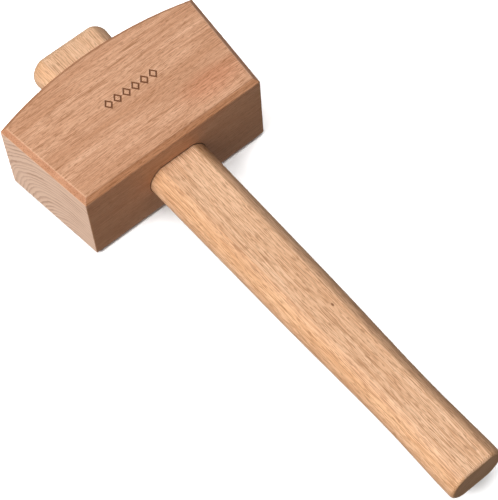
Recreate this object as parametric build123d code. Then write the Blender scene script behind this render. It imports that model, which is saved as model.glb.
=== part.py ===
"""Joiner's mallet: a solid beech head and a handle that wedges into it from the top.

The mallet lies on the back of its head. The origin is the centre of that broad back face,
+X runs along the head, +Y up the handle from hand to head, and +Z out of the front face.
"""
from build123d import *
from math import sqrt
import os

os.makedirs("parts", exist_ok=True)

# Head block. Heights are measured up the handle's direction from the underside.
HEAD_THICKNESS = 57.0
LENGTH_AT_UNDERSIDE = 121.0
LENGTH_AT_SHOULDERS = 135.0
SHOULDER_HEIGHT = 69.0
CROWN_HEIGHT = 79.0
HEAD_CHAMFER = 3.0

# Handle. It is a board of one thickness whose sides are bowed by a hollow cutter a little
# larger than half the board, so a soft arris runs down each side of the two flats.
BOARD_THICKNESS = 24.0
SIDE_RADIUS = 12.8
WIDTH_AT_STUB_TOP = 52.6
WIDTH_AT_UNDERSIDE = 39.0
STUB_HEIGHT = 104.6
BUTT_DROP = 241.4
STUB_ROUNDING = 7.0
BUTT_ROUNDING = 2.0

# Width of the grip at distances below the underside: a long taper, a waist, a flared butt.
GRIP_WIDTHS = [
    (0, WIDTH_AT_UNDERSIDE),
    (20, 38.5),
    (60, 37.6),
    (118, 36.0),
    (150, 34.4),
    (182, 33.0),
    (210, 33.4),
    (BUTT_DROP, 34.2),
]

# Gap left all round between the wedge and its mortise, so the two solids never touch.
MORTISE_GAP = 0.1

# Engraved band of plain lozenges on the front face.
BAND_CENTRE = (3.0, 2.5)
LOZENGE_COUNT = 6
LOZENGE_PITCH = 6.2
LOZENGE_WIDTH = 5.6
LOZENGE_HEIGHT = 7.4
LOZENGE_STROKE = 1.2
ENGRAVING_DEPTH = 0.4

UNDERSIDE = -CROWN_HEIGHT / 2
MID_PLANE = HEAD_THICKNESS / 2


def board_section(y, width, gap=0.0):
    """One slice across the handle at y: two flats joined by two bowed sides."""
    half_board = BOARD_THICKNESS / 2 + gap
    radius = SIDE_RADIUS + gap
    side = width / 2 + gap
    arris = side - radius + sqrt(radius**2 - half_board**2)
    outline = [
        Line((-arris, -half_board), (arris, -half_board)),
        ThreePointArc((arris, -half_board), (side, 0), (arris, half_board)),
        Line((arris, half_board), (-arris, half_board)),
        ThreePointArc((-arris, half_board), (-side, 0), (-arris, -half_board)),
    ]
    slice_plane = Plane(origin=(0, y, MID_PLANE), x_dir=(1, 0, 0), z_dir=(0, 1, 0))
    return slice_plane * make_face(outline)


def wedge(bottom, top, gap=0.0):
    """The straight taper shared by the handle and the mortise, between two heights above the
    underside."""
    rate = (WIDTH_AT_STUB_TOP - WIDTH_AT_UNDERSIDE) / STUB_HEIGHT
    slices = []
    for height in (bottom, top):
        width = WIDTH_AT_UNDERSIDE + rate * height
        slices.append(board_section(UNDERSIDE + height, width, gap))
    return loft(slices, ruled=True)


def end_edges(solid, y):
    """Edges that lie wholly in the plane at y."""
    return [edge for edge in solid.edges() if all(abs(v.Y - y) < 1e-4 for v in edge.vertices())]


# Head: an arched block whose striking faces lean in towards the hand.
shoulder = UNDERSIDE + SHOULDER_HEIGHT
head_outline = [
    Line((-LENGTH_AT_UNDERSIDE / 2, UNDERSIDE), (LENGTH_AT_UNDERSIDE / 2, UNDERSIDE)),
    Line((LENGTH_AT_UNDERSIDE / 2, UNDERSIDE), (LENGTH_AT_SHOULDERS / 2, shoulder)),
    ThreePointArc(
        (LENGTH_AT_SHOULDERS / 2, shoulder),
        (0, UNDERSIDE + CROWN_HEIGHT),
        (-LENGTH_AT_SHOULDERS / 2, shoulder),
    ),
    Line((-LENGTH_AT_SHOULDERS / 2, shoulder), (-LENGTH_AT_UNDERSIDE / 2, UNDERSIDE)),
]
head = extrude(make_face(head_outline), HEAD_THICKNESS, dir=(0, 0, 1))
broad_faces = [head.faces().sort_by(Axis.Z)[0], head.faces().sort_by(Axis.Z)[-1]]
head = chamfer([edge for face in broad_faces for edge in face.edges()], HEAD_CHAMFER)
head -= wedge(-5, CROWN_HEIGHT + 5, MORTISE_GAP)

# Shallow grooves of the lozenge band, cut into the front face.
for number in range(LOZENGE_COUNT):
    across = BAND_CENTRE[0] + (number - (LOZENGE_COUNT - 1) / 2) * LOZENGE_PITCH
    rings = []
    for shrink in (0, LOZENGE_STROKE):
        half_width = LOZENGE_WIDTH / 2 - shrink
        half_height = LOZENGE_HEIGHT / 2 - shrink * LOZENGE_HEIGHT / LOZENGE_WIDTH
        corners = [(half_width, 0), (0, half_height), (-half_width, 0), (0, -half_height)]
        rings.append(make_face(Polyline(*corners, close=True)))
    groove = Pos(across, BAND_CENTRE[1], HEAD_THICKNESS) * (rings[0] - rings[1])
    head -= extrude(groove, ENGRAVING_DEPTH, dir=(0, 0, -1))

# Handle: the straight wedge above, the shaped grip below, and both ends rounded over.
grip = loft([board_section(UNDERSIDE - drop, width) for drop, width in GRIP_WIDTHS])
stub = wedge(0, STUB_HEIGHT)
stub = fillet(end_edges(stub, UNDERSIDE + STUB_HEIGHT), STUB_ROUNDING)
grip = fillet(end_edges(grip, UNDERSIDE - BUTT_DROP), BUTT_ROUNDING)
handle = stub + grip

for name, piece in (("head", head), ("handle", handle)):
    solid = piece.solids()[0]
    solid.label = name
    export_step(solid, f"parts/{name}.step")
    box = solid.bounding_box()
    print(name, len(piece.solids()), "solid", f"{solid.volume / 1000:.1f} cm3", box.min, box.max)
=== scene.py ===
"""Looks of a joiner's mallet: a steamed beech head and a pale beech handle wedged through it.

Everything is in metres in the part's shared frame: +X along the head, +Y up the handle from the
hand to the head, +Z out of the head's front face. The mallet lies on the back of its head.
"""
from functools import partial
import math

import bmesh
import bpy
from mathutils import Matrix, Vector
from mathutils.geometry import delaunay_2d_cdt


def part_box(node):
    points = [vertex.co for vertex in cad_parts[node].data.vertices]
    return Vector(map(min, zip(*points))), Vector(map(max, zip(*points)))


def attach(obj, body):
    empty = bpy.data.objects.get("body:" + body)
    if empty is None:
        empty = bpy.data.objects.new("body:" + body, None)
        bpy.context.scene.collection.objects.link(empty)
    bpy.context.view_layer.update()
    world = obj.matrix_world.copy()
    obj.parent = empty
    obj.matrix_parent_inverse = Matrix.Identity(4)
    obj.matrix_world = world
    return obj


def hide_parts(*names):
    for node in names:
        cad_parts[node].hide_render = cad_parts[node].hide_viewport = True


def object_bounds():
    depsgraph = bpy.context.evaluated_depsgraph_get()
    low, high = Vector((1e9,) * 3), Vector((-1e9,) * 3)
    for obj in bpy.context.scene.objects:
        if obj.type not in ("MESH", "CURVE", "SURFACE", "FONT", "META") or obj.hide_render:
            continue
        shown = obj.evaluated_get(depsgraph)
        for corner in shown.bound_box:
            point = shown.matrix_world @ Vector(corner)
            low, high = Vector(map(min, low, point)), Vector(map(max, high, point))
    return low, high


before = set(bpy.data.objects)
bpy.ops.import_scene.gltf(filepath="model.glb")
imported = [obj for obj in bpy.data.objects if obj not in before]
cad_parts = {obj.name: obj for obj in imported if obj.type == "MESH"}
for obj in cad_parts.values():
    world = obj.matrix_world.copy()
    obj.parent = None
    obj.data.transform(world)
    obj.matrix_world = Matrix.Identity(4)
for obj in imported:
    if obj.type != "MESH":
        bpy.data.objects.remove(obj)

bl_info = {
    "name": "Joiner's Mallet",
    "version": (1, 0, 0),
    "blender": (4, 5, 0),
    "location": "View3D > Sidebar > Mallet",
    "description": "Builds a beech joiner's mallet, its finishes and a plain studio stage",
    "category": "Add Mesh",
}

CAD_BOX = [list(corner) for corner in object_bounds()]
HEAD_LOW, HEAD_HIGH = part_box("head")
HANDLE_LOW, HANDLE_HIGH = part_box("handle")
MM = 0.001
UNIT_TO_MM = 1000.0

# Places in the wood, in mm: a streak of redder heartwood and a pin knot that goes right through.
HEART_MIDDLE = (40.0, -23.0, 57.0)
HEART_HALF = (25.0, 11.0, 12.0)
KNOT_MIDDLE = (4.7, -164.5, 0.0)
KNOT_HALF = (0.55, 1.0, 1000.0)
# Lines left by the chamfer cutter in mm, and the mottle of scorched wood in metres. Real ones are
# about 0.1 mm wide, too fine to show in the render, so they are drawn coarser.
CUTTER_LINE = (120.0, 0.75, 0.75)
CHAR_SIZE = 0.8 * MM

# How finely the round stretches are cut into flats, and how far apart the handle's slices are.
CORNER_STEPS = 4
SIDE_STEPS = 18
FLAT_STEPS = 6
ARCH_STEPS = 54
ARCH_ROWS = 9
EDGE_STEPS = 1
ROUNDING_STEPS = 14
WALL_STEPS = 48
GRIP_STEP = 4 * MM
WEDGE_STEP = 6 * MM

SHARP = 0.01 * MM  # an easing so small that the corner stays sharp
RIM_PASSES = 3  # how often the mortise's rim is fitted to the arch
PLAIN_TRIANGLES = 0  # what the triangle solver is asked to give
SAME_PLACE = 1e-5  # how close, in mm, it takes two points for one
BURNT_SLOT = 1  # the head's second material

# The camera: degrees round the mallet from the butt, above the floor and of roll, then metres.
CAMERA_TURN = -34.94
CAMERA_RISE = 60.94
CAMERA_ROLL = -5.39
CAMERA_AIM = Vector((-0.00364, -0.10527, 0.0285))
CAMERA_DISTANCE = 1.0066
# Its lens and its sensor's width, in mm.
CAMERA_LENS = 134.37
CAMERA_SENSOR = 36.0

# Where the lamps point. Then for each its name, which way it lies from there, which of the stage's
# values is its strength, its width, its distance, and whether it lights the paper alone.
LAMP_AIM = Vector((0, -0.05, 0.03))
LAMPS = (
    ("softbox", (-0.65, 0.03, 0.757), "key", 1.4, 3.0, False),
    ("reflector", (-0.62, -0.72, 0.3), "reflector", 1.2, 2.5, False),
    ("back card", (0.85, 0.3, 0.3), "back_card", 1.2, 2.5, False),
    ("paper wash", (0, 0, 1), "wash", 2.4, 2.5, True),
)


def linear(code):
    """The linear colour of an sRGB hex code such as "D4A07E"."""
    channels = [int(code[i : i + 2], 16) / 255 for i in (0, 2, 4)]
    return tuple(c / 12.92 if c <= 0.04045 else ((c + 0.055) / 1.055) ** 2.4 for c in channels)


def colour(name, description, code):
    """A colour property whose default is given as an sRGB hex code."""
    return bpy.props.FloatVectorProperty(
        name=name, description=description, subtype="COLOR", size=3, min=0, max=1,
        default=linear(code),
    )


def length(name, description, default):
    """A size property, in metres."""
    return bpy.props.FloatProperty(
        name=name, description=description, default=default, min=0, unit="LENGTH", precision=5
    )


class HeadSizes(bpy.types.PropertyGroup):
    """The head block, its mortise and the engraved band."""

    shoulder_length: length(
        "Length at shoulders", "Head length where the arch meets the striking faces",
        HEAD_HIGH.x - HEAD_LOW.x,
    )
    underside_length: length("Length at underside", "Head length on the hand's side", 0.121)
    crown_height: length("Crown height", "Underside to top of arch", HEAD_HIGH.y - HEAD_LOW.y)
    shoulder_height: length("Shoulder height", "Underside to the ends of the arch", 0.069)
    thickness: length("Thickness", "Back face to front face", HEAD_HIGH.z - HEAD_LOW.z)
    chamfer: length("Chamfer", "Chamfer round both broad faces", 0.003)
    softening: length("Arris softening", "How far sanding has eased each arris", 0.0006)
    mortise_gap: length("Mortise gap", "Gap left round the wedge", 0.0001)
    band_x: length("Band centre along head", "Centre of the engraved band", 0.003)
    band_y: length("Band centre up handle", "Centre of the engraved band", 0.0025)
    lozenge_count: bpy.props.IntProperty(
        name="Lozenges", description="How many lozenges the band has", default=6, min=1
    )
    lozenge_pitch: length("Lozenge pitch", "Distance between lozenge centres", 0.0062)
    lozenge_width: length("Lozenge width", "Outside width of one lozenge", 0.0056)
    lozenge_height: length("Lozenge height", "Outside height of one lozenge", 0.0074)
    lozenge_stroke: length("Stroke", "Inset of the lozenge's inner line", 0.0012)
    engraving_depth: length("Engraving depth", "Depth of the burnt grooves", 0.0004)


class HandleSizes(bpy.types.PropertyGroup):
    """The handle board: a wedge above the underside and a shaped grip below."""

    board: length("Board thickness", "Thickness of the handle", HANDLE_HIGH.z - HANDLE_LOW.z)
    side_radius: length("Side radius", "Radius of the bowed sides", 0.0128)
    root_width: length("Width at underside", "Wedge width where it leaves the head", 0.039)
    stub_width: length("Width at stub top", "Wedge width at its upper end", 0.0526)
    stub_rounding: length("Stub rounding", "Rounding over of the upper end", 0.007)
    butt_rounding: length("Butt rounding", "Rounding over of the lower end", 0.002)
    softening: length("Arris softening", "How far sanding has eased each arris", 0.0005)


class Finish(bpy.types.PropertyGroup):
    """Colours of the two beeches, the burning and the paper."""

    head_pale: colour("Head pale", "Palest wood of the head", "E5B594")
    head_deep: colour("Head deep", "Darker areas of the head", "D4A281")
    head_rich: colour("Head streaks", "Redder streaks in the head", "CA916C")
    head_late: colour("Head late wood", "Late wood on the head's long faces", "C08D69")
    head_fibre: colour("Head fibres", "Dark fibres in the head", "B98461")
    head_ray: colour("Head rays", "Ray flecks in the head", "96643F")
    end_pale: colour("End grain", "Cut ends of the head", "EAC7AE")
    end_late: colour("End late wood", "Late wood on the head's ends", "B98F76")
    end_pore: colour("End pores", "Pores on the head's ends", "D2A98F")
    chamfer_tint: colour("Chamfer tint", "Warmth the chamfer cutter gave", "FFF2E3")
    end_chamfer_tint: colour("End chamfer tint", "Cooler where it crosses the grain", "F0F0F6")
    heart: colour("Heart streak", "Redder streak near one end of the head", "F3D7C9")
    grime: colour("Grime", "Dirt on arrises along the grain", "7E5034")
    # Painted shade: a dark line where the gap between the handle and the head lies in shadow.
    joint: colour("Joint line", "Dirt where the handle enters the head", "482710")
    # Painted shade: the faces that look along the handle, turned from the light, are tinted darker
    # and warmer.
    underside_shade_tint: colour("Underside tint", "Warmth of the head's underside", "FFFBF3")
    # Paler arrises: partly wear, partly a painted highlight where the eased edges catch the light.
    wear_and_highlight: colour("Worn arris", "Paler wood on handled arrises", "E6BD9B")
    handle_pale: colour("Handle pale", "Palest wood of the handle", "F5CBA7")
    handle_deep: colour("Handle deep", "Darker areas of the handle", "EBBE99")
    handle_rich: colour("Handle streaks", "Redder streaks in the handle", "E2AD83")
    handle_late: colour("Handle late wood", "Late wood on the handle", "DAA77F")
    handle_fibre: colour("Handle fibres", "Dark fibres in the handle", "C8936A")
    handle_ray: colour("Handle rays", "Ray flecks in the handle", "9C6C46")
    butt_pale: colour("Handle end grain", "Cut ends of the handle", "CB996F")
    butt_late: colour("Handle end late wood", "Late wood on the handle's ends", "A67C55")
    sapwood: colour("Sapwood", "Paler wood at the wedge end", "F5D9B9")
    side_tint: colour("Side tint", "Warmth of the handle's bowed sides", "F3EBDD")
    burnt: colour("Burnt", "Bottom of the burnt grooves", "6A3D24")
    burnt_pale: colour("Burnt rim", "Palest scorching", "8A5A38")
    paper: colour("Paper", "Background paper", "F2F2F2")


class StageSizes(bpy.types.PropertyGroup):
    """Light on the mallet. 1 is the light that shows a white face as white."""

    key: bpy.props.FloatProperty(
        name="Key", description="Light on a face square to the softbox", default=1.12, min=0
    )
    fill: bpy.props.FloatProperty(
        name="Fill", description="Even light from all round", default=0.2, min=0
    )
    reflector: bpy.props.FloatProperty(
        name="Reflector", description="Light from the card low on the left", default=0.09, min=0
    )
    back_card: bpy.props.FloatProperty(
        name="Back card", description="Light from the card behind on the right", default=0.22,
        min=0,
    )
    wash: bpy.props.FloatProperty(
        name="Paper wash", description="Light from overhead that only whitens the paper",
        default=1.4, min=0,
    )
    paper_reach: length("Paper reach", "How far the paper reaches on each side", 4.0)


def eased(before, corner, after):
    """Points of the small curve that eases a corner, both ends included."""
    points = []
    for step in range(CORNER_STEPS + 1):
        t = step / CORNER_STEPS
        points.append(before * (1 - t) ** 2 + corner * 2 * t * (1 - t) + after * t**2)
    return points


# How strongly each point of an eased corner shows wear, dirt and a painted highlight: 0 at its
# ends, 1 in its middle.
EASED_WEAR = [math.sin(math.pi * step / CORNER_STEPS) for step in range(CORNER_STEPS + 1)]


def eased_path(corners, size):
    """An open path through 2-D corners, each inner corner eased by size along both of its sides,
    and the wear at each of its points."""
    path = [corners[0]]
    wear = [0.0]
    for last, corner, following in zip(corners, corners[1:], corners[2:]):
        before = corner + (last - corner).normalized() * size
        after = corner + (following - corner).normalized() * size
        path += eased(before, corner, after)
        wear += EASED_WEAR
    return path + [corners[-1]], wear + [0.0]


def board_outline(side, half_board, radius, softening):
    """One slice of the handle as (x, z) points about its middle, in order round the slice, and the
    wear at each point."""
    centre = side - radius
    reach = math.asin(half_board / radius)
    arris = centre + radius * math.cos(reach)
    ease = softening / radius
    half = []
    for step in range(FLAT_STEPS + 1):
        across = -1 + 2 * step / FLAT_STEPS
        half.append(Vector((across * (arris - softening), -half_board)))

    def on_side(angle):
        return Vector((centre + radius * math.cos(angle), radius * math.sin(angle)))

    wear = [0.0] * len(half)
    half += eased(half[-1], Vector((arris, -half_board)), on_side(ease - reach))[1:-1]
    wear += EASED_WEAR[1:-1]
    for step in range(SIDE_STEPS + 1):
        half.append(on_side((reach - ease) * (2 * step / SIDE_STEPS - 1)))
        wear.append(0.0)
    high = Vector((arris - softening, half_board))
    half += eased(half[-1], Vector((arris, half_board)), high)[1:-1]
    wear += EASED_WEAR[1:-1]
    return half + [-point for point in half], wear * 2


class Wedge:
    """The straight taper that the handle and its mortise share."""

    def __init__(self, head, handle):
        self.underside = HEAD_LOW.y
        self.root = handle.root_width
        stub_height = HANDLE_HIGH.y - HEAD_LOW.y
        self.rate = (handle.stub_width - handle.root_width) / stub_height
        self.half_board = handle.board / 2
        self.radius = handle.side_radius
        self.middle = (HANDLE_LOW.z + HANDLE_HIGH.z) / 2

    def side(self, y):
        """Half the wedge's width at y."""
        return (self.root + self.rate * (y - self.underside)) / 2

    def outline(self, y, gap):
        """The (x, z) points of the slice at y, moved out by gap."""
        side = self.side(y) + gap
        return board_outline(side, self.half_board + gap, self.radius + gap, SHARP)[0]


class HeadShape:
    """Outline of the head as seen square to its broad faces, at any inset from its sides."""

    def __init__(self, sizes):
        self.sizes = sizes
        self.low = HEAD_LOW.y
        self.shoulder = self.low + sizes.shoulder_height
        sagitta = sizes.crown_height - sizes.shoulder_height
        half = sizes.shoulder_length / 2
        self.arch_radius = (half**2 + sagitta**2) / (2 * sagitta)
        self.arch_centre = self.low + sizes.crown_height - self.arch_radius

    def arch_height(self, x):
        """y of the arch above x."""
        return self.arch_centre + math.sqrt(self.arch_radius**2 - x**2)

    def corners(self, inset):
        """Lower and upper right corners of the outline."""
        sizes = self.sizes
        foot = Vector((sizes.underside_length / 2, self.low))
        along = (Vector((sizes.shoulder_length / 2, self.shoulder)) - foot).normalized()
        start = foot + Vector((-along.y, along.x)) * inset
        lower = start + along * ((self.low + inset - start.y) / along.y)
        radius = self.arch_radius - inset
        from_centre = start - Vector((0, self.arch_centre))
        half_b = from_centre.dot(along)
        reach = -half_b + math.sqrt(half_b**2 - from_centre.length_squared + radius**2)
        return lower, start + along * reach

    def sides(self, inset):
        """The four sides in order, each a function of a share 0 to 1, with its length."""
        lower, upper = self.corners(inset)
        radius = self.arch_radius - inset
        swing = math.asin(upper.x / radius)
        left = Vector((-1, 1))
        centre = Vector((0, self.arch_centre))
        return [
            (lambda t: (lower * left).lerp(lower, t), 2 * lower.x),
            (lambda t: lower.lerp(upper, t), (upper - lower).length),
            (
                lambda t: centre + radius * Vector(
                    (math.sin(swing * (1 - 2 * t)), math.cos(swing * (1 - 2 * t)))
                ),
                2 * swing * radius,
            ),
            (lambda t: (upper * left).lerp(lower * left, t), (upper - lower).length),
        ]

    def ring(self, inset, softening):
        """Points round the outline, corners eased, the wear at each point, and the index at which
        each side's run starts."""
        sides = self.sides(inset)
        points = []
        wear = []
        starts = []
        for number, (side, size) in enumerate(sides):
            steps = (EDGE_STEPS, EDGE_STEPS, ARCH_STEPS, EDGE_STEPS)[number]
            ease = softening / size
            starts.append(len(points))
            run = [side(ease + (1 - 2 * ease) * step / steps) for step in range(steps + 1)]
            following, next_size = sides[(number + 1) % len(sides)]
            points += run
            points += eased(run[-1], side(1), following(softening / next_size))[1:-1]
            wear += [0.0] * len(run) + EASED_WEAR[1:-1]
        return points, wear, starts


def join_rings(mesh, first, second):
    """Quads between two closed rings of vertices that match one to one."""
    faces = []
    count = len(first)
    for i in range(count):
        j = (i + 1) % count
        faces.append(mesh.faces.new((first[i], first[j], second[j], second[i])))
    return faces


def inside(point, loop):
    """True where a 2-D point is inside a closed loop."""
    found = False
    for a, b in zip(loop, loop[1:] + loop[:1]):
        if (a.y > point.y) != (b.y > point.y):
            if point.x < a.x + (point.y - a.y) * (b.x - a.x) / (b.y - a.y):
                found = not found
    return found


def fill(mesh, border, holes, extra=(), maker=None):
    """Triangles over a flat region with holes. border and holes are lists of (vertex, 2-D place)
    pairs, and extra is more 2-D places, for each of which maker gives the new vertex."""
    places = []
    owners = []
    edges = []
    for loop in [border] + holes:
        first = len(places)
        places += [place for vertex, place in loop]
        owners += [vertex for vertex, place in loop]
        edges += [(first + i, first + (i + 1) % len(loop)) for i in range(len(loop))]
    places += extra
    owners += [maker(place) for place in extra]
    # The solver drops very close points, so it works in millimetres.
    scaled = [place * UNIT_TO_MM for place in places]
    found, _, triangles, origins, _, _ = delaunay_2d_cdt(
        scaled, edges, [], PLAIN_TRIANGLES, SAME_PLACE
    )
    outer = [place * UNIT_TO_MM for vertex, place in border]
    gaps = [[place * UNIT_TO_MM for vertex, place in hole] for hole in holes]
    for triangle in triangles:
        middle = sum((found[i] for i in triangle), Vector((0, 0))) / len(triangle)
        if inside(middle, outer) and not any(inside(middle, gap) for gap in gaps):
            mesh.faces.new([owners[origins[i][0]] for i in triangle])


def finish_mesh(name, mesh, materials):
    """A smooth object from a bmesh, whose large faces keep their own flat shading."""
    bmesh.ops.recalc_face_normals(mesh, faces=mesh.faces)
    data = bpy.data.meshes.new(name)
    for face in mesh.faces:
        face.smooth = True
    mesh.to_mesh(data)
    mesh.free()
    for material in materials:
        data.materials.append(material)
    piece = bpy.data.objects.new(name, data)
    bpy.context.scene.collection.objects.link(piece)
    weighting = piece.modifiers.new("Even shading", "WEIGHTED_NORMAL")
    weighting.keep_sharp = True
    return piece


def head_rings(mesh, shape, wear_and_highlight):
    """The head's chamfered outside as rings of vertices from back to front, and the index at which
    each side's run starts."""
    sizes = shape.sizes
    soft = sizes.softening
    corners = [(sizes.chamfer + 2 * soft, 0), (sizes.chamfer, 0), (0, sizes.chamfer)]
    corners += [(inset, sizes.thickness - z) for inset, z in reversed(corners)]
    profile, profile_wear = eased_path([Vector(corner) for corner in corners], soft)
    rings = []
    for (inset, z), wear_here in zip(profile, profile_wear):
        ring, ring_wear, starts = shape.ring(max(inset, 0), soft)
        rings.append([mesh.verts.new((p.x, p.y, HEAD_LOW.z + z)) for p in ring])
        for vertex, wear in zip(rings[-1], ring_wear):
            vertex[wear_and_highlight] = max(wear, wear_here)
    return rings, starts


def mortise_rim(mesh, wedge, sizes, surface, inward, rim_shade_layer):
    """Faces of the eased rim where the mortise meets a surface. Gives its outer and inner rings.
    surface gives y at x, and inward is 1 or -1, the way along y into the wood."""

    def loop_at(clearance, sink):
        """The loop where the mortise, moved out by clearance, meets the surface."""
        outline = wedge.outline(surface(0), clearance)
        for _ in range(RIM_PASSES):
            slices = [wedge.outline(surface(p.x), clearance) for p in outline]
            outline = [slices[i][i] for i in range(len(outline))]
        return [
            Vector((p.x, surface(p.x) + inward * sink, wedge.middle + p.y)) for p in outline
        ]

    gap = sizes.mortise_gap
    soft = sizes.softening / 2
    curves = map(eased, loop_at(gap + soft, 0), loop_at(gap, 0), loop_at(gap, soft))
    rings = [[mesh.verts.new(point) for point in ring] for ring in zip(*curves)]
    for first, second in zip(rings, rings[1:]):
        join_rings(mesh, first, second)
        # Painted shade: the rim's inner rings are marked for the dark line of shadow in the joint.
        for vertex in second:
            vertex[rim_shade_layer] = 1.0
    return rings[0], rings[-1]


def engrave_band(mesh, sizes, front_z):
    """Faces of the band of burnt lozenges. Gives their rims."""
    grooves = []
    rims = []
    middle = (sizes.lozenge_count - 1) / 2
    for number in range(sizes.lozenge_count):
        across = sizes.band_x + (number - middle) * sizes.lozenge_pitch
        loops = []
        for inset in (0, sizes.lozenge_stroke):
            half_width = sizes.lozenge_width / 2 - inset
            half_height = half_width * sizes.lozenge_height / sizes.lozenge_width
            for z in (front_z, front_z - sizes.engraving_depth):
                loops.append([
                    mesh.verts.new((across + x * half_width, sizes.band_y + y * half_height, z))
                    for x, y in ((1, 0), (0, 1), (-1, 0), (0, -1))
                ])
        rim, floor, island_rim, island_floor = loops
        grooves += join_rings(mesh, rim, floor)
        grooves += join_rings(mesh, floor, island_floor)
        grooves += join_rings(mesh, island_floor, island_rim)
        mesh.faces.new(island_rim)
        rims.append(rim)
    for face in grooves:
        face.material_index = BURNT_SLOT
        for edge in face.edges:
            edge.smooth = False
    return rims


def placed(vertices, axes):
    """Each vertex with its 2-D place on two of the axes."""
    return [(v, Vector([getattr(v.co, axis) for axis in axes])) for v in vertices]


def build_head(sizes, handle):
    """The head block as a bmesh: chamfers, eased arrises, open mortise and burnt grooves."""
    mesh = bmesh.new()
    # Weights on eased arrises, for wear, dirt and a painted highlight.
    wear_and_highlight = mesh.verts.layers.float.new("arris")
    # Weights for the painted shade in the joint.
    rim_shade_layer = mesh.verts.layers.float.new("joint")
    shape = HeadShape(sizes)
    wedge = Wedge(sizes, handle)
    rings, starts = head_rings(mesh, shape, wear_and_highlight)
    wall = len(rings) // 2 - 1  # the two rings that bound the upright sides
    for number, (first, second) in enumerate(zip(rings, rings[1:])):
        if number != wall:
            join_rings(mesh, first, second)

    # Upright sides. The underside and the arch have the mortise's rims in them.
    low_ring, high_ring = rings[wall], rings[wall + 1]
    count = len(low_ring)
    mouths = (
        (starts[0], EDGE_STEPS, 1, lambda x: shape.low, 1),
        (starts[2], ARCH_STEPS, ARCH_ROWS, shape.arch_height, -1),
    )
    open_edges = {start + i for start, steps, *_ in mouths for i in range(steps)}
    for i in range(count):
        if i not in open_edges:
            j = (i + 1) % count
            mesh.faces.new((low_ring[i], low_ring[j], high_ring[j], high_ring[i]))
    inner_rims = []
    half_span = shape.corners(0)[1].x
    wall_height = sizes.thickness - 2 * sizes.chamfer
    for start, steps, rows, surface, inward in mouths:
        rim, inner_rim = mortise_rim(mesh, wedge, sizes, surface, inward, rim_shade_layer)
        inner_rims.append(inner_rim)
        border = low_ring[start : start + steps + 1]
        border += reversed(high_ring[start : start + steps + 1])
        extra = []
        for column in range(1, steps):
            x = half_span * (2 * column / steps - 1)
            near_rim = wedge.outline(surface(x), sizes.mortise_gap + 2 * sizes.softening)
            near_rim = [Vector((p.x, p.y + wedge.middle)) for p in near_rim]
            for row in range(1, rows):
                z = HEAD_LOW.z + sizes.chamfer + wall_height * row / rows
                if not inside(Vector((x, z)), near_rim):
                    extra.append(Vector((x, z)))
        fill(
            mesh, placed(border, "xz"), [placed(rim, "xz")], extra,
            lambda place: mesh.verts.new((place.x, surface(place.x), place.y)),
        )
    join_rings(mesh, *inner_rims)

    # Back face, and the front face with its band of burnt lozenges.
    mesh.faces.new(rings[0])
    rims = engrave_band(mesh, sizes, HEAD_LOW.z + sizes.thickness)
    fill(mesh, placed(rings[-1], "xy"), [placed(rim, "xy") for rim in rims])
    return mesh


def build_handle(sizes, head):
    """The handle board as a bmesh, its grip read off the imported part."""
    mesh = bmesh.new()
    wedge = Wedge(head, sizes)
    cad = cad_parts["handle"]

    def side_at(y):
        """Half the handle's width at y."""
        if y >= wedge.underside:
            return wedge.side(y)
        well_outside = Vector((HANDLE_HIGH.x * 2, y, wedge.middle))
        hit, place, _, _ = cad.ray_cast(well_outside, Vector((-1, 0, 0)))
        if not hit:
            raise RuntimeError(f"the packed handle has no side at y = {y:.4f}")
        return place.x

    ends = []  # each a list of (y, side, inset)
    for end, rounding, outward in (
        (HANDLE_LOW.y, sizes.butt_rounding, -1),
        (HANDLE_HIGH.y, sizes.stub_rounding, 1),
    ):
        arc = []
        for step in range(ROUNDING_STEPS + 1):
            angle = math.pi / 2 * step / ROUNDING_STEPS
            y = end - outward * rounding * (1 - math.sin(angle))
            # The grip's side is followed no further than where the rounding starts.
            side_y = y if outward > 0 else end - outward * rounding
            arc.append((y, side_at(side_y), rounding * (1 - math.cos(angle))))
        ends.append(arc)
    butt, top = ends
    butt.reverse()
    middle = []
    start, stop = butt[-1][0], top[0][0]
    for first, last, pitch in (
        (start, wedge.underside, GRIP_STEP),
        (wedge.underside, stop, WEDGE_STEP),
    ):
        steps = round((last - first) / pitch)
        for step in range(1, steps + (last != stop)):
            y = first + (last - first) * step / steps
            middle.append((y, side_at(y), 0))
    wear_and_highlight = mesh.verts.layers.float.new("arris")
    rings = []
    for y, side, inset in butt + middle + top:
        outline, wear = board_outline(
            side - inset, wedge.half_board - inset, wedge.radius - inset, sizes.softening
        )
        rings.append([mesh.verts.new((p.x, y, wedge.middle + p.y)) for p in outline])
        for vertex, amount in zip(rings[-1], wear):
            vertex[wear_and_highlight] = amount
    for first, second in zip(rings, rings[1:]):
        join_rings(mesh, first, second)
    mesh.faces.new(rings[0])
    mesh.faces.new(rings[-1])
    return mesh


# Kinds of node, and the settings that several nodes share.
MATH = "ShaderNodeMath"
VECTOR = "ShaderNodeVectorMath"
NOISE = "ShaderNodeTexNoise"
RANGE = "ShaderNodeMapRange"
MIX = "ShaderNodeMix"
MIXED_COLOUR = 2  # number of a mix node's colour output
SUBTRACT = {"operation": "SUBTRACT"}
MULTIPLY = {"operation": "MULTIPLY"}
MULTIPLY_ADD = {"operation": "MULTIPLY_ADD"}
DIVIDE = {"operation": "DIVIDE"}
ABSOLUTE = {"operation": "ABSOLUTE"}
LENGTH = {"operation": "LENGTH"}
SMOOTH = {"interpolation_type": "SMOOTHSTEP"}
COVER = {"data_type": "RGBA", "blend_type": "MIX"}
TINT = {"data_type": "RGBA", "blend_type": "MULTIPLY"}


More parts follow.
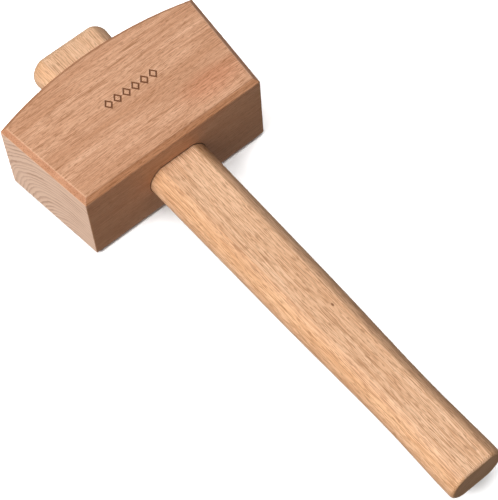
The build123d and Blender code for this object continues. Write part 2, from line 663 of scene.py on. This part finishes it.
def add_node(tree, kind, settings=None, output=0, **inputs):
    """Adds a node and gives one of its outputs, by number or name. settings are its own values.
    inputs are constants or sockets by name, where i0 means the input with that number."""
    made = tree.nodes.new(kind)
    for key, value in (settings or {}).items():
        setattr(made, key, value)
    for key, value in inputs.items():
        index = int(key[1:]) if key[0] == "i" and key[1:].isdigit() else key.replace("_", " ")
        socket = made.inputs[index]
        if isinstance(value, bpy.types.NodeSocket):
            tree.links.new(value, socket)
        else:
            socket.default_value = value
    return made.outputs[output]


def new_material(name):
    """A new material, its tree and its shader."""
    material = bpy.data.materials.new(name)
    material.use_nodes = True
    tree = material.node_tree
    return material, tree, tree.nodes["Principled BSDF"]


# How far growth rings wander, in mm, and how uneven they are, in rings and per mm.
RING_WOBBLE = 1.6
RING_UNEVENNESS = 1.6
UNEVEN_PER_MM = 0.11
# Roughness that fibres and cut ends add, the relief of the grain, and how far flecks sink and late
# wood stands as shares of that relief.
FIBRE_ROUGHNESS = 0.16
END_ROUGHNESS = 0.08
GRAIN_RELIEF = 0.06 * MM
GRAIN_STRENGTH = 0.5
FLECK_RISE = -0.5
LATE_RISE = 0.1
BEECH_IOR = 1.5
BEECH_SHEEN = 0.35
# How strongly the wood is coloured: dirt on arrises, painted shade at the joint, and the handle's
# arrises rubbed pale, wear with a painted highlight. Then how dark the heart of its knot is.
ARRIS_DIRT = 0.38
JOINT_SHADE = 0.75
ARRIS_RUB_AND_HIGHLIGHT = 0.3
KNOT_DARKNESS = 0.8

# How each piece lies in its log, in mm. axes are the piece's own axes along the grain and across
# it twice, and pith is where the log's centre would be on the last two. figure gives the size of
# each feature along the grain and across it twice, then how broken up it is (detail, roughness).
# share is how strongly each feature colours the wood at most. Beech vessels are about 0.07 mm wide
# and its ray flecks 0.1 to 0.2 mm wide and 1 to 4 mm long, too fine to show in the render, so
# fibres, lines and rays are drawn 0.3 to 0.5 mm wide.
HEAD_LOG = {
    "axes": "XYZ",
    "pith": (-30.0, -15.0),
    "ring": 3.0,
    "sway_size": (110.0, 34.0, 34.0),
    "sway": (0.0, 5.0, 5.0),
    "figure": {
        "wobble": ((60.0, 6.0, 6.0), 1.0, 0.5),
        "streak": ((95.0, 3.2, 3.2), 2.0, 0.5),
        "patch": ((70.0, 15.0, 15.0), 1.0, 0.5),
        "fibre": ((16.0, 0.36, 0.36), 1.0, 0.6),
        "line": ((24.0, 0.4, 0.4), 1.0, 0.4),
        "ray": ((3.2, 0.3, 0.3), 0.0, 0.5),
        "pore": ((0.9, 0.6, 0.6), 1.0, 0.5),
    },
    "share": {"streak": 0.4, "late": 0.3, "fibre": 0.75, "line": 0.7, "fleck": 0.6},
    "fleck_from": 0.57,
    "roughness": 0.52,
}
HANDLE_LOG = {
    "axes": "YXZ",
    "pith": (30.0, -60.0),
    "ring": 2.6,
    "sway_size": (160.0, 30.0, 30.0),
    "sway": (0.0, 4.0, 4.0),
    "figure": {
        "wobble": ((60.0, 6.0, 6.0), 1.0, 0.5),
        "streak": ((120.0, 2.4, 2.4), 2.0, 0.5),
        "patch": ((90.0, 12.0, 12.0), 1.0, 0.5),
        "fibre": ((14.0, 0.5, 0.5), 1.0, 0.6),
        "line": ((16.0, 0.5, 0.5), 0.0, 0.5),
        "ray": ((4.6, 0.46, 0.46), 0.0, 0.5),
        "pore": ((0.9, 0.6, 0.6), 1.0, 0.5),
    },
    "share": {"streak": 0.3, "late": 0.2, "fibre": 0.75, "line": 0.5, "fleck": 0.52},
    "fleck_from": 0.56,
    "roughness": 0.48,
}


def beech_wood(tree, shader, log, shades):
    """Wires the solid figure of a piece of beech. Gives its colour, the place in mm, that place's
    three parts, and how squarely the surface faces each axis.

    The figure runs right through the piece, as it does in the tree: growth rings about a pith,
    fibres, rays that show as short flecks, and slow changes of colour along the grain.
    """
    node = partial(add_node, tree)
    spot = node("ShaderNodeTexCoord", output="Object")
    place = node(VECTOR, {"operation": "SCALE"}, Vector=spot, Scale=UNIT_TO_MM)
    parts = node("ShaderNodeSeparateXYZ", Vector=place).node.outputs
    normal = node("ShaderNodeSeparateXYZ", Vector=spot.node.outputs["Normal"]).node.outputs
    facing = {axis: node(MATH, ABSOLUTE, i0=normal[axis]) for axis in "XYZ"}
    along, across, deep = (parts[axis] for axis in log["axes"])
    from_pith = node(
        "ShaderNodeCombineXYZ", X=along, Y=node(MATH, SUBTRACT, i0=across, i1=log["pith"][0]),
        Z=node(MATH, SUBTRACT, i0=deep, i1=log["pith"][1]),
    )

    # No tree grows straight: rings and fibres wander a few millimetres along the piece.
    scaled = node(VECTOR, DIVIDE, i0=from_pith, i1=log["sway_size"])
    sway = node(NOISE, None, "Color", Vector=scaled, Scale=1.0, Detail=1.0)
    centred = node(VECTOR, SUBTRACT, i0=sway, i1=(0.5, 0.5, 0.5))
    swayed = node(VECTOR, MULTIPLY_ADD, i0=centred, i1=log["sway"], i2=from_pith)
    figure = {}
    for name, (size, detail, roughness) in log["figure"].items():
        scaled = node(VECTOR, DIVIDE, i0=swayed, i1=size)
        figure[name] = node(
            NOISE, Vector=scaled, Scale=1.0, Detail=detail, Roughness=roughness
        )

    # Growth rings: each fades in from pale early wood to dark late wood and stops short.
    across_only = node(VECTOR, MULTIPLY, i0=swayed, i1=(0, 1, 1))
    radius = node(VECTOR, LENGTH, "Value", i0=across_only)
    radius = node(MATH, MULTIPLY_ADD, i0=figure["wobble"], i1=RING_WOBBLE, i2=radius)
    uneven = node(
        NOISE, {"noise_dimensions": "1D"}, W=node(MATH, MULTIPLY, i0=radius, i1=UNEVEN_PER_MM),
        Scale=1.0, Detail=1.0,
    )
    uneven = node(MATH, MULTIPLY, i0=uneven, i1=RING_UNEVENNESS)
    rings = node(MATH, MULTIPLY_ADD, i0=radius, i1=1 / log["ring"], i2=uneven)
    within_ring = node(MATH, {"operation": "FRACT"}, i0=rings)

    # Each share rises smoothly from its first level of the source to its second.
    shares = {}
    share = log["share"]
    for name, source, first, second, low, high in (
        ("rise", within_ring, 0.35, 0.88, 0.0, 1.0),
        ("stop", within_ring, 0.9, 1.0, 1.0, 0.0),
        ("patch", figure["patch"], 0.38, 0.66, 0.0, 1.0),
        ("streak", figure["streak"], 0.3, 0.7, 0.0, share["streak"]),
        ("fibre", figure["fibre"], 0.38, 0.7, 0.0, share["fibre"]),
        ("fleck", figure["ray"], log["fleck_from"], log["fleck_from"] + 0.12, 0.0, 1.0),
        ("dark line", figure["line"], 0.57, 0.68, 0.0, share["line"]),
        ("in streaks", figure["streak"], 0.3, 0.6, 0.0, 1.0),
        ("pore", figure["pore"], 0.3, 0.75, 0.0, 0.3),
        ("end rings", figure["patch"], 0.3, 0.6, 0.95, 0.45),
        ("is end", facing[log["axes"][0]], 0.85, 0.97, 0.0, 1.0),
    ):
        shares[name] = node(RANGE, SMOOTH, i0=source, i1=first, i2=second, i3=low, i4=high)
    late = node(MATH, MULTIPLY, i0=shares["rise"], i1=shares["stop"])

    side = (*shades["pale"], 1)
    for amount, shade in (
        (shares["patch"], "deep"),
        (shares["streak"], "rich"),
        (node(MATH, MULTIPLY, i0=late, i1=share["late"]), "late"),
        (shares["fibre"], "fibre"),
        (node(MATH, MULTIPLY, i0=shares["dark line"], i1=shares["in streaks"]), "ray"),
        (node(MATH, MULTIPLY, i0=shares["fleck"], i1=share["fleck"]), "ray"),
    ):
        side = node(MIX, COVER, MIXED_COLOUR, i0=amount, i6=side, i7=(*shades[shade], 1))

    # Cut ends drink the light: rings stand out and the colour turns greyer.
    end = (*shades["end"], 1)
    for amount, shade in (
        (shares["pore"], "end_pore"),
        (node(MATH, MULTIPLY, i0=late, i1=shares["end rings"]), "end_late"),
    ):
        end = node(MIX, COVER, MIXED_COLOUR, i0=amount, i6=end, i7=(*shades[shade], 1))
    wood = node(MIX, COVER, MIXED_COLOUR, i0=shares["is end"], i6=side, i7=end)

    # Fibres are a little rougher than the wood between them, and cut ends rougher still.
    least = log["roughness"] - FIBRE_ROUGHNESS / 2
    rough = node(MATH, MULTIPLY_ADD, i0=figure["fibre"], i1=FIBRE_ROUGHNESS, i2=least)
    rough = node(MATH, MULTIPLY_ADD, i0=shares["is end"], i1=END_ROUGHNESS, i2=rough)
    tree.links.new(rough, shader.inputs["Roughness"])
    height = node(MATH, MULTIPLY_ADD, i0=shares["fleck"], i1=FLECK_RISE, i2=figure["fibre"])
    height = node(MATH, MULTIPLY_ADD, i0=late, i1=LATE_RISE, i2=height)
    bump = node("ShaderNodeBump", Strength=GRAIN_STRENGTH, Distance=GRAIN_RELIEF, Height=height)
    tree.links.new(bump, shader.inputs["Normal"])
    shader.inputs["IOR"].default_value = BEECH_IOR
    shader.inputs["Specular IOR Level"].default_value = BEECH_SHEEN
    return wood, place, parts, facing


def steamed_beech(finish):
    """Steamed beech, planed, chamfered and fine-sanded, with no varnish.

    Steaming turns beech an even pinkish tan. Sanding leaves it satin, with soft streaks.
    """
    material, tree, shader = new_material("Steamed beech, fine-sanded")
    shades = {
        "pale": finish.head_pale, "deep": finish.head_deep, "rich": finish.head_rich,
        "late": finish.head_late, "fibre": finish.head_fibre, "ray": finish.head_ray,
        "end": finish.end_pale, "end_late": finish.end_late, "end_pore": finish.end_pore,
    }
    out, place, _, facing = beech_wood(tree, shader, HEAD_LOG, shades)
    node = partial(add_node, tree)
    from_heart = node(VECTOR, SUBTRACT, i0=place, i1=HEART_MIDDLE)
    from_heart = node(VECTOR, DIVIDE, i0=from_heart, i1=HEART_HALF)
    reach = node(VECTOR, LENGTH, "Value", i0=from_heart)
    # The arris weights bring wear, dirt and a painted highlight.
    wear_and_highlight = node("ShaderNodeAttribute", {"attribute_name": "arris"}, "Fac")
    # The joint weights bring painted shade.
    joint = node("ShaderNodeAttribute", {"attribute_name": "joint"}, "Fac")
    scaled = node(VECTOR, DIVIDE, i0=place, i1=CUTTER_LINE)
    cutter = node(NOISE, Vector=scaled, Scale=1.0, Detail=1.0)
    shares = {}
    for name, source, first, second, low, high in (
        ("heart", reach, 0.2, 1.25, 0.65, 0.0),
        ("tilted", facing["Z"], 0.4, 0.55, 0.0, 1.0),
        ("not broad", facing["Z"], 0.85, 0.95, 1.0, 0.0),
        ("underside", facing["Y"], 0.9, 0.98, 0.0, 1.0),
        ("plain", facing["Y"], 0.9, 0.98, 0.0, 0.45),
        ("end chamfer", facing["X"], 0.4, 0.65, 0.0, 1.0),
        ("along grain", facing["Y"], 0.08, 0.3, 0.0, 1.0),
        ("across grain", facing["Y"], 0.08, 0.3, 0.28, 0.0),
        ("line", cutter, 0.5, 0.6, 0.0, 0.2),
    ):
        shares[name] = node(RANGE, SMOOTH, i0=source, i1=first, i2=second, i3=low, i4=high)
    chamfer = node(MATH, MULTIPLY, i0=shares["tilted"], i1=shares["not broad"])
    end_chamfer = node(MATH, MULTIPLY, i0=chamfer, i1=shares["end chamfer"])
    long_chamfer = node(MATH, MULTIPLY, i0=chamfer, i1=shares["along grain"])
    lines = node(MATH, MULTIPLY, i0=long_chamfer, i1=shares["line"])
    # Across the grain the arrises turn pale: wear and a painted highlight.
    rubbed_and_highlit = node(MATH, MULTIPLY, i0=wear_and_highlight, i1=shares["across grain"])
    dirty = node(MATH, MULTIPLY, i0=wear_and_highlight, i1=shares["along grain"])
    dirty = node(MATH, MULTIPLY, i0=dirty, i1=ARRIS_DIRT)
    # Painted shade at the joint.
    seam_shading = node(MATH, MULTIPLY, i0=joint, i1=JOINT_SHADE)
    for amount, settings, shade in (
        # A redder streak of heartwood lies under the front face near one end.
        (shares["heart"], TINT, finish.heart),
        # The cutter that ran the chamfers polished and warmed them.
        (chamfer, TINT, finish.chamfer_tint),
        (end_chamfer, TINT, finish.end_chamfer_tint),
        # The underside is cut square to the rings, so its figure barely shows. Its tint is painted
        # shade:
        # the faces that look along the handle, away from the light, turn darker and warmer.
        (shares["plain"], COVER, finish.head_rich),
        (shares["underside"], TINT, finish.underside_shade_tint),
        # Along the grain that cutter left fine dark lines.
        (lines, COVER, finish.grime),
        # Arrises across the grain are rubbed pale, wear with a painted highlight. Those along it
        # hold dirt.
        # The joint gets painted shade, a dark line for the shadow in the gap.
        (rubbed_and_highlit, COVER, finish.wear_and_highlight),
        (dirty, COVER, finish.grime),
        (seam_shading, COVER, finish.joint),
    ):
        out = node(MIX, settings, MIXED_COLOUR, i0=amount, i6=out, i7=(*shade, 1))
    tree.links.new(out, shader.inputs["Base Color"])
    return material


def white_beech(finish):
    """Unsteamed beech, shaped and fine-sanded.

    Left unsteamed it is a paler straw colour, and its rays show as many short dark flecks.
    """
    material, tree, shader = new_material("White beech, fine-sanded")
    shades = {
        "pale": finish.handle_pale, "deep": finish.handle_deep, "rich": finish.handle_rich,
        "late": finish.handle_late, "fibre": finish.handle_fibre, "ray": finish.handle_ray,
        "end": finish.butt_pale, "end_late": finish.butt_late, "end_pore": finish.butt_late,
    }
    out, place, parts, facing = beech_wood(tree, shader, HANDLE_LOG, shades)
    node = partial(add_node, tree)
    from_knot = node(VECTOR, SUBTRACT, i0=place, i1=KNOT_MIDDLE)
    from_knot = node(VECTOR, DIVIDE, i0=from_knot, i1=KNOT_HALF)
    reach = node(VECTOR, LENGTH, "Value", i0=from_knot)
    from_joint = node(MATH, SUBTRACT, i0=parts["Y"], i1=HEAD_LOW.y * UNIT_TO_MM)
    from_joint = node(MATH, ABSOLUTE, i0=from_joint)
    # The arris weights bring wear and a painted highlight.
    wear_and_highlight = node("ShaderNodeAttribute", {"attribute_name": "arris"}, "Fac")
    shares = {}
    for name, source, first, second, low, high in (
        ("off flat", facing["X"], 0.08, 0.3, 0.0, 1.0),
        ("not square", facing["X"], 0.65, 1.0, 1.0, 0.45),
        ("wedge end", parts["Y"], 20.0, 45.0, 0.0, 0.1),
        ("knot", reach, 0.5, 1.5, 0.8, 0.0),
        # Painted shade: darker in a thin band at the joint.
        ("joint", from_joint, 0.2, 0.7, JOINT_SHADE, 0.0),
    ):
        shares[name] = node(RANGE, SMOOTH, i0=source, i1=first, i2=second, i3=low, i4=high)
    shoulder = node(MATH, MULTIPLY, i0=shares["off flat"], i1=shares["not square"])
    knot_heart = node(MATH, MULTIPLY, i0=shares["knot"], i1=KNOT_DARKNESS)
    # Rubbed arrises: wear and a painted highlight.
    rubbed_and_highlit = node(MATH, MULTIPLY, i0=wear_and_highlight, i1=ARRIS_RUB_AND_HIGHLIGHT)
    for amount, settings, shade in (
        # The bowed sides are cut across the rings the other way and look warmer.
        (shoulder, TINT, finish.side_tint),
        # The wedge end was last in the log's sapwood and is paler still.
        (shares["wedge end"], COVER, finish.sapwood),
        # One pin knot, the stub of a twig, goes through the board.
        (shares["knot"], COVER, finish.handle_ray),
        (knot_heart, COVER, finish.burnt),
        # The arrises are rubbed pale: wear, with a painted highlight where the edges catch the
        # light.
        (rubbed_and_highlit, COVER, finish.wear_and_highlight),
        # Painted shade: a thin dark line where the handle enters the head, standing for the shadow
        # in the joint.
        (shares["joint"], COVER, finish.joint),
    ):
        out = node(MIX, settings, MIXED_COLOUR, i0=amount, i6=out, i7=(*shade, 1))
    tree.links.new(out, shader.inputs["Base Color"])
    return material


def burnt_beech(finish):
    """Beech scorched by the hot tool that cut the grooves: matt, dark brown, a little uneven."""
    material, tree, shader = new_material("Scorched beech")
    node = partial(add_node, tree)
    spot = node("ShaderNodeTexCoord", output="Object")
    char = node(NOISE, Vector=spot, Scale=1 / CHAR_SIZE, Detail=1.0)
    out = node(
        MIX, COVER, MIXED_COLOUR, i0=char, i6=(*finish.burnt, 1), i7=(*finish.burnt_pale, 1)
    )
    tree.links.new(out, shader.inputs["Base Color"])
    shader.inputs["Roughness"].default_value = 0.75
    return material


def white_paper(finish):
    """Seamless background paper: white and matt."""
    material, _, shader = new_material("White background paper")
    shader.inputs["Base Color"].default_value = (*finish.paper, 1)
    shader.inputs["Roughness"].default_value = 0.95
    shader.inputs["Specular IOR Level"].default_value = 0.1
    return material


def lit_paper(finish):
    """Background paper hung far off and lit from behind, so it is even and white."""
    material, _, shader = new_material("Lit background paper")
    shader.inputs["Base Color"].default_value = (0, 0, 0, 1)
    shader.inputs["Specular IOR Level"].default_value = 0.0
    shader.inputs["Emission Color"].default_value = (*finish.paper, 1)
    shader.inputs["Emission Strength"].default_value = 1.1
    return material


class MALLET_OT_head(bpy.types.Operator):
    """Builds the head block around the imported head"""

    bl_idname = "mallet.head"
    bl_label = "Head block"

    def execute(self, context):
        scene = context.scene
        mesh = build_head(scene.mallet_head, scene.mallet_handle)
        finish = scene.mallet_finish
        piece = finish_mesh("head_block", mesh, [steamed_beech(finish), burnt_beech(finish)])
        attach(piece, "head")
        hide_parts("head")
        return {"FINISHED"}


class MALLET_OT_handle(bpy.types.Operator):
    """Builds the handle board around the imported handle"""

    bl_idname = "mallet.handle"
    bl_label = "Handle board"

    def execute(self, context):
        scene = context.scene
        mesh = build_handle(scene.mallet_handle, scene.mallet_head)
        piece = finish_mesh("handle_board", mesh, [white_beech(scene.mallet_finish)])
        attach(piece, "handle")
        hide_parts("handle")
        return {"FINISHED"}


def add_paper(scene):
    """The floor and the round wall of background paper. Gives the floor."""
    stage = scene.mallet_stage
    floor_mesh = bmesh.new()
    wall_mesh = bmesh.new()
    rim = []
    for step in range(WALL_STEPS):
        turn = 2 * math.pi * step / WALL_STEPS
        rim.append(Vector((math.cos(turn), math.sin(turn), 0)) * stage.paper_reach)
    ground = Vector((0, 0, CAD_BOX[0][2]))
    floor_mesh.faces.new([floor_mesh.verts.new(point + ground) for point in rim])
    foot, top = (
        [wall_mesh.verts.new(point + ground + Vector((0, 0, rise))) for point in rim]
        for rise in (0, stage.paper_reach)
    )
    join_rings(wall_mesh, foot, top)
    sheets = []
    for name, mesh, material in (
        ("floor", floor_mesh, white_paper(scene.mallet_finish)),
        ("wall", wall_mesh, lit_paper(scene.mallet_finish)),
    ):
        data = bpy.data.meshes.new(name)
        mesh.to_mesh(data)
        mesh.free()
        data.materials.append(material)
        sheet = bpy.data.objects.new(name, data)
        scene.collection.objects.link(sheet)
        # The paper sends no light back, so the mallet's shaded faces stay dark.
        sheet.visible_diffuse = False
        sheet.visible_glossy = False
        sheets.append(sheet)
    floor, wall = sheets
    wall.visible_shadow = False
    return floor


def add_lamps(scene, floor):
    """Even light from all round, and the lamps."""
    stage = scene.mallet_stage
    scene.world = bpy.data.worlds.new("Studio walls")
    scene.world.use_nodes = True
    backdrop = scene.world.node_tree.nodes["Background"]
    backdrop.inputs["Color"].default_value = (1, 1, 1, 1)
    backdrop.inputs["Strength"].default_value = stage.fill
    paper_only = bpy.data.collections.new("Paper")
    paper_only.objects.link(floor)
    for name, towards, strength, width, distance, lights_paper_alone in LAMPS:
        towards = Vector(towards).normalized()
        lamp = bpy.data.lights.new(name, "AREA")
        lamp.shape = "DISK"
        lamp.size = width
        # The power at which a white face square to the lamp shows as white, times the strength.
        lamp.energy = getattr(stage, strength) * math.pi**2 * distance**2
        holder = bpy.data.objects.new(name, lamp)
        holder.location = LAMP_AIM + towards * distance
        holder.rotation_euler = (-towards).to_track_quat("-Z", "Y").to_euler()
        if lights_paper_alone:
            holder.light_linking.receiver_collection = paper_only
        scene.collection.objects.link(holder)


def add_camera(scene):
    """The camera, turned about its own view by its roll."""
    turn, rise, roll = (math.radians(v) for v in (CAMERA_TURN, CAMERA_RISE, CAMERA_ROLL))
    back = Vector((
        math.sin(turn) * math.cos(rise), -math.cos(turn) * math.cos(rise), math.sin(rise)
    ))
    level = Vector((math.cos(turn), math.sin(turn), 0))
    right = level * math.cos(roll) + back.cross(level) * math.sin(roll)
    rotation = Matrix((right, back.cross(right), back)).transposed().to_4x4()
    camera = bpy.data.cameras.new("camera")
    camera.lens = CAMERA_LENS
    camera.sensor_width = CAMERA_SENSOR
    holder = bpy.data.objects.new("camera", camera)
    holder.matrix_world = Matrix.Translation(CAMERA_AIM + back * CAMERA_DISTANCE) @ rotation
    scene.collection.objects.link(holder)
    scene.camera = holder


class MALLET_OT_stage(bpy.types.Operator):
    """Adds the pale floor, the soft lights and the camera"""

    bl_idname = "mallet.stage"
    bl_label = "Studio stage"

    def execute(self, context):
        scene = context.scene
        floor = add_paper(scene)
        add_lamps(scene, floor)
        add_camera(scene)
        scene.view_settings.view_transform = "Standard"
        return {"FINISHED"}


class MALLET_PT_panel(bpy.types.Panel):
    """Lists the mallet's pieces"""

    bl_idname = "MALLET_PT_panel"
    bl_label = "Joiner's mallet"
    bl_space_type = "VIEW_3D"
    bl_region_type = "UI"
    bl_category = "Mallet"

    def draw(self, context):
        for operator in (MALLET_OT_head, MALLET_OT_handle, MALLET_OT_stage):
            self.layout.operator(operator.bl_idname)


CLASSES = (
    HeadSizes,
    HandleSizes,
    Finish,
    StageSizes,
    MALLET_OT_head,
    MALLET_OT_handle,
    MALLET_OT_stage,
    MALLET_PT_panel,
)


def register():
    for cls in CLASSES:
        bpy.utils.register_class(cls)
    bpy.types.Scene.mallet_head = bpy.props.PointerProperty(type=HeadSizes)
    bpy.types.Scene.mallet_handle = bpy.props.PointerProperty(type=HandleSizes)
    bpy.types.Scene.mallet_finish = bpy.props.PointerProperty(type=Finish)
    bpy.types.Scene.mallet_stage = bpy.props.PointerProperty(type=StageSizes)


def unregister():
    del bpy.types.Scene.mallet_stage
    del bpy.types.Scene.mallet_finish
    del bpy.types.Scene.mallet_handle
    del bpy.types.Scene.mallet_head
    for cls in reversed(CLASSES):
        bpy.utils.unregister_class(cls)


def main():
    register()
    bpy.ops.mallet.head()
    bpy.ops.mallet.handle()
    bpy.ops.mallet.stage()


if __name__ == "__main__":
    main()
